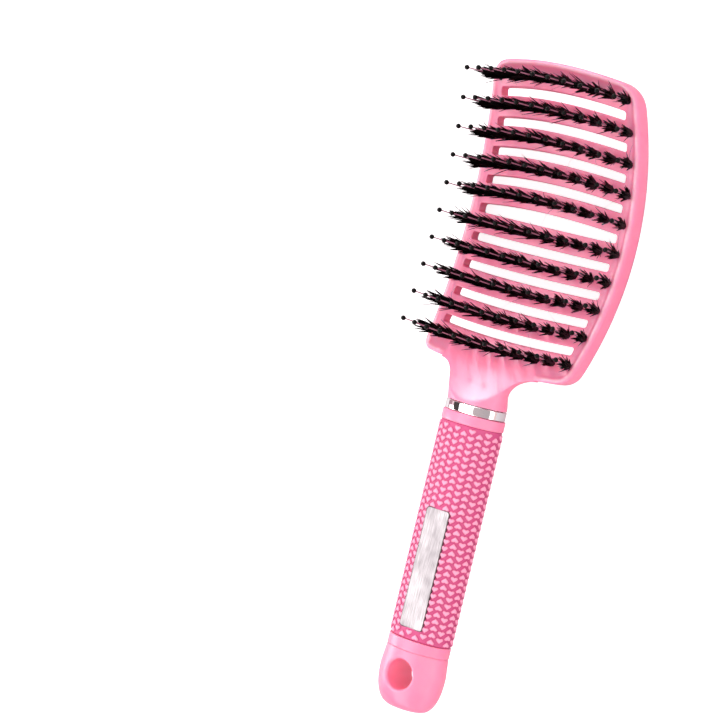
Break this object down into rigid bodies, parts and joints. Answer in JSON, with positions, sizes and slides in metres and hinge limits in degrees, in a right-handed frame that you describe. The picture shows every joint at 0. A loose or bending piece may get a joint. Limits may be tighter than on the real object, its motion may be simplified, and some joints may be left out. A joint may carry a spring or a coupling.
{
  "type": "hair brush",
  "caption": "Curved vented hair brush with mixed boar-hair and ball-tipped nylon bristles, an oval textured grip, a chrome ring and an end cap with a hang hole.",
  "frame": {"origin": "under the middle of the bounding box, on the level of the lowest point of the head's back when the brush lies on its back", "axes": "+X across the brush, +Y along the handle towards the top of the head, +Z out of the bristle side"},
  "size_m": [0.077, 0.2412, 0.0399],
  "materials": {
    "gloss_pink": "glossy light pink moulded plastic",
    "sleeve_pink": "satin pink soft-touch sleeve with small raised hearts",
    "bristle_black": "black boar hair with pink nylon quills and black ball tips",
    "chrome_ring": "polished chrome",
    "plate_silver": "pearl silver plate with a fine dark edge",
    "magnet_grey": "nickel-plated magnet"
  },
  "bodies": {
    "root": {"head_frame": "gloss_pink", "bristle_row_10": "bristle_black", "bristle_row_09": "bristle_black", "bristle_row_08": "bristle_black", "bristle_row_07": "bristle_black", "bristle_row_06": "bristle_black", "bristle_row_05": "bristle_black", "bristle_row_04": "bristle_black", "bristle_row_03": "bristle_black", "bristle_row_02": "bristle_black", "bristle_row_01": "bristle_black", "ferrule_ring": "chrome_ring", "handle_core": "gloss_pink", "grip_sleeve": "sleeve_pink", "name_plate": "plate_silver", "lower_collar": "gloss_pink", "end_cap": "gloss_pink", "base_magnet": "magnet_grey"}
  },
  "joints": []
}
